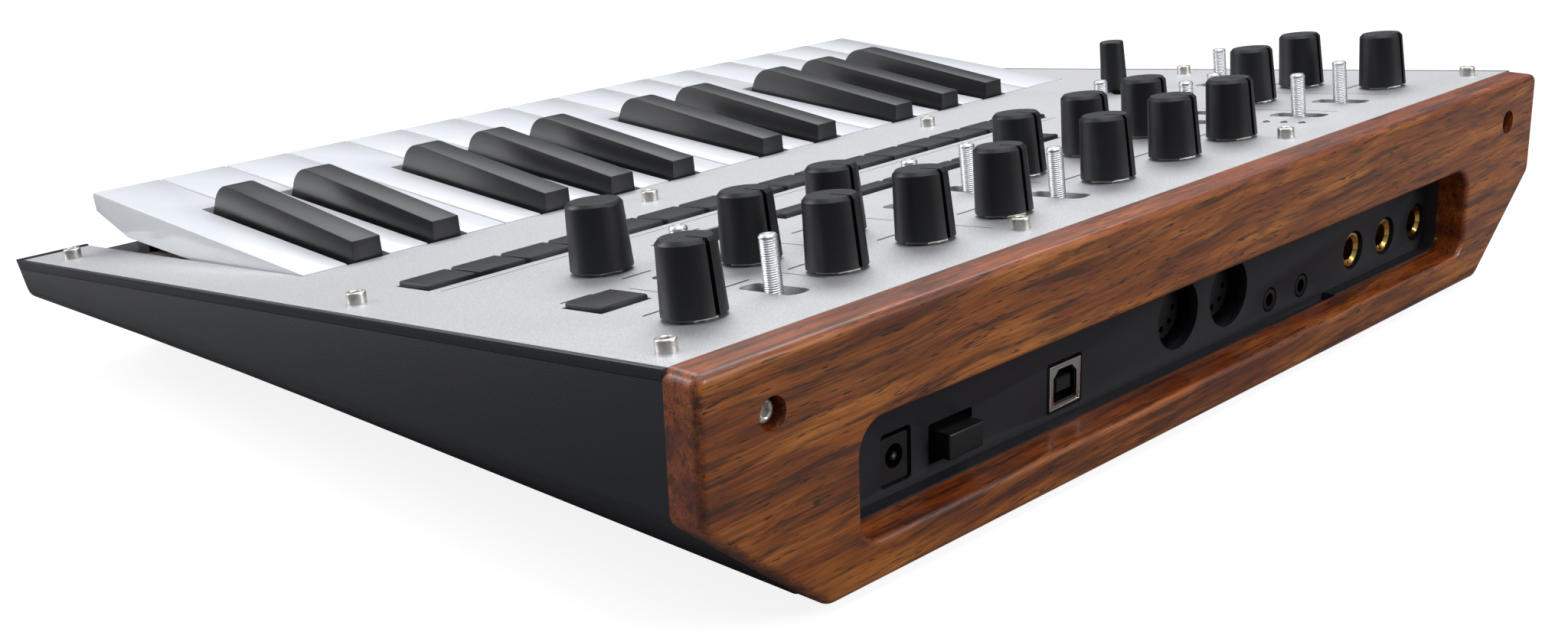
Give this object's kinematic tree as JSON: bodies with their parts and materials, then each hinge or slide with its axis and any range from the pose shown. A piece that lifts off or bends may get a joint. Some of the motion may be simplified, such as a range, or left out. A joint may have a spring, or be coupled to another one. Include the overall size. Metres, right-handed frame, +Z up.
{
  "type": "keyboard synthesizer",
  "caption": "Slim desktop keyboard synthesizer with a sloping aluminium panel of knobs, toggles and buttons over short keys, and a wooden rear panel with a recessed socket row.",
  "frame": {"origin": "on the table under the middle of the whole box, at the height of the feet's undersides", "axes": "+X to the player's right (high notes), -Y towards the player (key fronts), +Y to the rear sockets, +Z up"},
  "size_m": [0.35, 0.274, 0.0731],
  "materials": {
    "case_plastic": "fine-textured dark grey moulding",
    "plate_aluminium": "fine sand-blasted, clear anodised",
    "panel_wood": "satin-lacquered reddish brown hardwood with dark streaks",
    "screw_nickel": "bright nickel plate",
    "foot_rubber": "matte",
    "frame_plastic": "matte black moulding",
    "felt_brown": "brown felt",
    "board_dark": "black board and black component bodies",
    "socket_plastic": "satin black moulding",
    "port_nickel": "nickel-plated sheet",
    "bushing_gold": "polished gold plate",
    "display_black": "gloss black window",
    "key_white": "glossy white moulding",
    "key_black": "satin black moulding",
    "knob_black": "satin black moulding",
    "lever_metal": "bright threaded steel",
    "button_rubber": "matte black"
  },
  "bodies": {
    "housing": {"bottom_case": "case_plastic", "upper_frame": "case_plastic", "top_plate": "plate_aluminium", "rear_wood_panel": "panel_wood", "fasteners": "screw_nickel", "rubber_feet": "foot_rubber", "keybed_frame": "frame_plastic", "key_felt": "felt_brown", "circuit_boards": "board_dark", "rear_sockets": "socket_plastic", "usb_port": "port_nickel", "jack_bushings": "bushing_gold", "display_window": "display_black"},
    "white_key_e3": {"white_key_e3": "key_white"},
    "white_key_d3": {"white_key_d3": "key_white"},
    "white_key_c3": {"white_key_c3": "key_white"},
    "white_key_b2": {"white_key_b2": "key_white"},
    "white_key_a2": {"white_key_a2": "key_white"},
    "white_key_g2": {"white_key_g2": "key_white"},
    "white_key_f2": {"white_key_f2": "key_white"},
    "white_key_e2": {"white_key_e2": "key_white"},
    "white_key_d2": {"white_key_d2": "key_white"},
    "white_key_c2": {"white_key_c2": "key_white"},
    "white_key_b1": {"white_key_b1": "key_white"},
    "white_key_a1": {"white_key_a1": "key_white"},
    "white_key_g1": {"white_key_g1": "key_white"},
    "white_key_f1": {"white_key_f1": "key_white"},
    "white_key_e1": {"white_key_e1": "key_white"},
    "black_key_d3_sharp": {"black_key_d3_sharp": "key_black"},
    "black_key_c3_sharp": {"black_key_c3_sharp": "key_black"},
    "black_key_a2_sharp": {"black_key_a2_sharp": "key_black"},
    "black_key_g2_sharp": {"black_key_g2_sharp": "key_black"},
    "black_key_f2_sharp": {"black_key_f2_sharp": "key_black"},
    "black_key_d2_sharp": {"black_key_d2_sharp": "key_black"},
    "black_key_c2_sharp": {"black_key_c2_sharp": "key_black"},
    "black_key_a1_sharp": {"black_key_a1_sharp": "key_black"},
    "black_key_g1_sharp": {"black_key_g1_sharp": "key_black"},
    "black_key_f1_sharp": {"black_key_f1_sharp": "key_black"},
    "knob_volume": {"knob_volume": "knob_black"},
    "knob_rear_2": {"knob_rear_2": "knob_black"},
    "knob_rear_3": {"knob_rear_3": "knob_black"},
    "knob_rear_4": {"knob_rear_4": "knob_black"},
    "knob_rear_5": {"knob_rear_5": "knob_black"},
    "knob_rear_6": {"knob_rear_6": "knob_black"},
    "knob_rear_7": {"knob_rear_7": "knob_black"},
    "knob_master": {"knob_master": "knob_black"},
    "knob_middle_1": {"knob_middle_1": "knob_black"},
    "knob_middle_2": {"knob_middle_2": "knob_black"},
    "knob_middle_3": {"knob_middle_3": "knob_black"},
    "knob_middle_4": {"knob_middle_4": "knob_black"},
    "knob_middle_5": {"knob_middle_5": "knob_black"},
    "knob_middle_6": {"knob_middle_6": "knob_black"},
    "knob_middle_7": {"knob_middle_7": "knob_black"},
    "encoder_knob": {"encoder_knob": "knob_black"},
    "toggle_levers_rear": {"toggle_levers_rear": "lever_metal"},
    "toggle_levers_middle": {"toggle_levers_middle": "lever_metal"},
    "toggle_levers_front": {"toggle_levers_front": "lever_metal"},
    "slider_lever": {"slider_lever": "knob_black"},
    "power_button": {"power_button": "socket_plastic"},
    "panel_buttons": {"panel_buttons": "button_rubber"}
  },
  "joints": [
    {"name": "white_key_e3_press", "type": "hinge", "parent": "housing", "child": "white_key_e3", "pos_m": [0.1445, 0, 0.036], "axis": [1, 0, 0], "range_deg": [0, 1.5], "stiffness_Nm_per_rad": 1, "springref_deg": -3.44},
    {"name": "white_key_d3_press", "type": "hinge", "parent": "housing", "child": "white_key_d3", "pos_m": [0.1241, 0, 0.036], "axis": [1, 0, 0], "range_deg": [0, 1.5], "stiffness_Nm_per_rad": 1, "springref_deg": -3.44},
    {"name": "white_key_c3_press", "type": "hinge", "parent": "housing", "child": "white_key_c3", "pos_m": [0.1037, 0, 0.036], "axis": [1, 0, 0], "range_deg": [0, 1.5], "stiffness_Nm_per_rad": 1, "springref_deg": -3.44},
    {"name": "white_key_b2_press", "type": "hinge", "parent": "housing", "child": "white_key_b2", "pos_m": [0.0833, 0, 0.036], "axis": [1, 0, 0], "range_deg": [0, 1.5], "stiffness_Nm_per_rad": 1, "springref_deg": -3.44},
    {"name": "white_key_a2_press", "type": "hinge", "parent": "housing", "child": "white_key_a2", "pos_m": [0.0629, 0, 0.036], "axis": [1, 0, 0], "range_deg": [0, 1.5], "stiffness_Nm_per_rad": 1, "springref_deg": -3.44},
    {"name": "white_key_g2_press", "type": "hinge", "parent": "housing", "child": "white_key_g2", "pos_m": [0.0425, 0, 0.036], "axis": [1, 0, 0], "range_deg": [0, 1.5], "stiffness_Nm_per_rad": 1, "springref_deg": -3.44},
    {"name": "white_key_f2_press", "type": "hinge", "parent": "housing", "child": "white_key_f2", "pos_m": [0.0221, 0, 0.036], "axis": [1, 0, 0], "range_deg": [0, 1.5], "stiffness_Nm_per_rad": 1, "springref_deg": -3.44},
    {"name": "white_key_e2_press", "type": "hinge", "parent": "housing", "child": "white_key_e2", "pos_m": [0.0017, 0, 0.036], "axis": [1, 0, 0], "range_deg": [0, 1.5], "stiffness_Nm_per_rad": 1, "springref_deg": -3.44},
    {"name": "white_key_d2_press", "type": "hinge", "parent": "housing", "child": "white_key_d2", "pos_m": [-0.0187, 0, 0.036], "axis": [1, 0, 0], "range_deg": [0, 1.5], "stiffness_Nm_per_rad": 1, "springref_deg": -3.44},
    {"name": "white_key_c2_press", "type": "hinge", "parent": "housing", "child": "white_key_c2", "pos_m": [-0.0391, 0, 0.036], "axis": [1, 0, 0], "range_deg": [0, 1.5], "stiffness_Nm_per_rad": 1, "springref_deg": -3.44},
    {"name": "white_key_b1_press", "type": "hinge", "parent": "housing", "child": "white_key_b1", "pos_m": [-0.0595, 0, 0.036], "axis": [1, 0, 0], "range_deg": [0, 1.5], "stiffness_Nm_per_rad": 1, "springref_deg": -3.44},
    {"name": "white_key_a1_press", "type": "hinge", "parent": "housing", "child": "white_key_a1", "pos_m": [-0.0799, 0, 0.036], "axis": [1, 0, 0], "range_deg": [0, 1.5], "stiffness_Nm_per_rad": 1, "springref_deg": -3.44},
    {"name": "white_key_g1_press", "type": "hinge", "parent": "housing", "child": "white_key_g1", "pos_m": [-0.1003, 0, 0.036], "axis": [1, 0, 0], "range_deg": [0, 1.5], "stiffness_Nm_per_rad": 1, "springref_deg": -3.44},
    {"name": "white_key_f1_press", "type": "hinge", "parent": "housing", "child": "white_key_f1", "pos_m": [-0.1207, 0, 0.036], "axis": [1, 0, 0], "range_deg": [0, 1.5], "stiffness_Nm_per_rad": 1, "springref_deg": -3.44},
    {"name": "white_key_e1_press", "type": "hinge", "parent": "housing", "child": "white_key_e1", "pos_m": [-0.1411, 0, 0.036], "axis": [1, 0, 0], "range_deg": [0, 1.5], "stiffness_Nm_per_rad": 1, "springref_deg": -3.44},
    {"name": "black_key_d3_sharp_press", "type": "hinge", "parent": "housing", "child": "black_key_d3_sharp", "pos_m": [0.1358, 0, 0.036], "axis": [1, 0, 0], "range_deg": [0, 1.5], "stiffness_Nm_per_rad": 1, "springref_deg": -3.44},
    {"name": "black_key_c3_sharp_press", "type": "hinge", "parent": "housing", "child": "black_key_c3_sharp", "pos_m": [0.112, 0, 0.036], "axis": [1, 0, 0], "range_deg": [0, 1.5], "stiffness_Nm_per_rad": 1, "springref_deg": -3.44},
    {"name": "black_key_a2_sharp_press", "type": "hinge", "parent": "housing", "child": "black_key_a2_sharp", "pos_m": [0.0756, 0, 0.036], "axis": [1, 0, 0], "range_deg": [0, 1.5], "stiffness_Nm_per_rad": 1, "springref_deg": -3.44},
    {"name": "black_key_g2_sharp_press", "type": "hinge", "parent": "housing", "child": "black_key_g2_sharp", "pos_m": [0.0525, 0, 0.036], "axis": [1, 0, 0], "range_deg": [0, 1.5], "stiffness_Nm_per_rad": 1, "springref_deg": -3.44},
    {"name": "black_key_f2_sharp_press", "type": "hinge", "parent": "housing", "child": "black_key_f2_sharp", "pos_m": [0.0294, 0, 0.036], "axis": [1, 0, 0], "range_deg": [0, 1.5], "stiffness_Nm_per_rad": 1, "springref_deg": -3.44},
    {"name": "black_key_d2_sharp_press", "type": "hinge", "parent": "housing", "child": "black_key_d2_sharp", "pos_m": [-0.007, 0, 0.036], "axis": [1, 0, 0], "range_deg": [0, 1.5], "stiffness_Nm_per_rad": 1, "springref_deg": -3.44},
    {"name": "black_key_c2_sharp_press", "type": "hinge", "parent": "housing", "child": "black_key_c2_sharp", "pos_m": [-0.0308, 0, 0.036], "axis": [1, 0, 0], "range_deg": [0, 1.5], "stiffness_Nm_per_rad": 1, "springref_deg": -3.44},
    {"name": "black_key_a1_sharp_press", "type": "hinge", "parent": "housing", "child": "black_key_a1_sharp", "pos_m": [-0.0672, 0, 0.036], "axis": [1, 0, 0], "range_deg": [0, 1.5], "stiffness_Nm_per_rad": 1, "springref_deg": -3.44},
    {"name": "black_key_g1_sharp_press", "type": "hinge", "parent": "housing", "child": "black_key_g1_sharp", "pos_m": [-0.0903, 0, 0.036], "axis": [1, 0, 0], "range_deg": [0, 1.5], "stiffness_Nm_per_rad": 1, "springref_deg": -3.44},
    {"name": "black_key_f1_sharp_press", "type": "hinge", "parent": "housing", "child": "black_key_f1_sharp", "pos_m": [-0.1134, 0, 0.036], "axis": [1, 0, 0], "range_deg": [0, 1.5], "stiffness_Nm_per_rad": 1, "springref_deg": -3.44},
    {"name": "knob_volume_turn", "type": "hinge", "parent": "housing", "child": "knob_volume", "pos_m": [0.145, 0.1045, 0.05632], "axis": [0, -0.1054, 0.9944], "range_deg": [-150, 150]},
    {"name": "knob_rear_2_turn", "type": "hinge", "parent": "housing", "child": "knob_rear_2", "pos_m": [0.1035, 0.1045, 0.05632], "axis": [0, -0.1054, 0.9944], "range_deg": [-150, 150]},
    {"name": "knob_rear_3_turn", "type": "hinge", "parent": "housing", "child": "knob_rear_3", "pos_m": [0.0745, 0.1045, 0.05632], "axis": [0, -0.1054, 0.9944], "range_deg": [-150, 150]},
    {"name": "knob_rear_4_turn", "type": "hinge", "parent": "housing", "child": "knob_rear_4", "pos_m": [0.046, 0.1045, 0.05632], "axis": [0, -0.1054, 0.9944], "range_deg": [-150, 150]},
    {"name": "knob_rear_5_turn", "type": "hinge", "parent": "housing", "child": "knob_rear_5", "pos_m": [0.004, 0.1045, 0.05632], "axis": [0, -0.1054, 0.9944], "range_deg": [-150, 150]},
    {"name": "knob_rear_6_turn", "type": "hinge", "parent": "housing", "child": "knob_rear_6", "pos_m": [-0.026, 0.1045, 0.05632], "axis": [0, -0.1054, 0.9944], "range_deg": [-150, 150]},
    {"name": "knob_rear_7_turn", "type": "hinge", "parent": "housing", "child": "knob_rear_7", "pos_m": [-0.0545, 0.104, 0.05626], "axis": [0, -0.1054, 0.9944], "range_deg": [-150, 150]},
    {"name": "knob_master_turn", "type": "hinge", "parent": "housing", "child": "knob_master", "pos_m": [-0.142, 0.103, 0.05616], "axis": [0, -0.1054, 0.9944], "range_deg": [-150, 150]},
    {"name": "knob_middle_1_turn", "type": "hinge", "parent": "housing", "child": "knob_middle_1", "pos_m": [0.104, 0.079, 0.05361], "axis": [0, -0.1054, 0.9944], "range_deg": [-150, 150]},
    {"name": "knob_middle_2_turn", "type": "hinge", "parent": "housing", "child": "knob_middle_2", "pos_m": [0.075, 0.078, 0.05351], "axis": [0, -0.1054, 0.9944], "range_deg": [-150, 150]},
    {"name": "knob_middle_3_turn", "type": "hinge", "parent": "housing", "child": "knob_middle_3", "pos_m": [0.004, 0.077, 0.0534], "axis": [0, -0.1054, 0.9944], "range_deg": [-150, 150]},
    {"name": "knob_middle_4_turn", "type": "hinge", "parent": "housing", "child": "knob_middle_4", "pos_m": [-0.026, 0.0767, 0.05337], "axis": [0, -0.1054, 0.9944], "range_deg": [-150, 150]},
    {"name": "knob_middle_5_turn", "type": "hinge", "parent": "housing", "child": "knob_middle_5", "pos_m": [-0.0545, 0.0765, 0.05335], "axis": [0, -0.1054, 0.9944], "range_deg": [-150, 150]},
    {"name": "knob_middle_6_turn", "type": "hinge", "parent": "housing", "child": "knob_middle_6", "pos_m": [-0.112, 0.0764, 0.05334], "axis": [0, -0.1054, 0.9944], "range_deg": [-150, 150]},
    {"name": "knob_middle_7_turn", "type": "hinge", "parent": "housing", "child": "knob_middle_7", "pos_m": [-0.142, 0.0756, 0.05325], "axis": [0, -0.1054, 0.9944], "range_deg": [-150, 150]},
    {"name": "encoder_knob_turn", "type": "hinge", "parent": "housing", "child": "encoder_knob", "pos_m": [0.1235, 0.0507, 0.05061], "axis": [0, -0.1054, 0.9944], "continuous": true},
    {"name": "toggle_levers_rear_tilt", "type": "hinge", "parent": "housing", "child": "toggle_levers_rear", "pos_m": [0, 0.10455, 0.04727], "axis": [1, 0, 0], "range_deg": [-18, 18]},
    {"name": "toggle_levers_middle_tilt", "type": "hinge", "parent": "housing", "child": "toggle_levers_middle", "pos_m": [0, 0.07725, 0.04438], "axis": [1, 0, 0], "range_deg": [-18, 18]},
    {"name": "toggle_levers_front_tilt", "type": "hinge", "parent": "housing", "child": "toggle_levers_front", "pos_m": [0, 0.04745, 0.04122], "axis": [1, 0, 0], "range_deg": [-18, 18]},
    {"name": "slider_lever_slide", "type": "slide", "parent": "housing", "child": "slider_lever", "axis": [0.7071, 0.7032, 0.0745], "range_m": [-0.006, 0.006], "stiffness_N_per_m": 100},
    {"name": "power_button_press", "type": "slide", "parent": "housing", "child": "power_button", "axis": [0, -1, 0], "range_m": [0, 0.0028], "stiffness_N_per_m": 300, "springref_m": -0.003},
    {"name": "panel_buttons_press", "type": "slide", "parent": "housing", "child": "panel_buttons", "axis": [0, 0.1054, -0.9944], "range_m": [0, 0.0009], "stiffness_N_per_m": 2000, "springref_m": -0.0006}
  ]
}
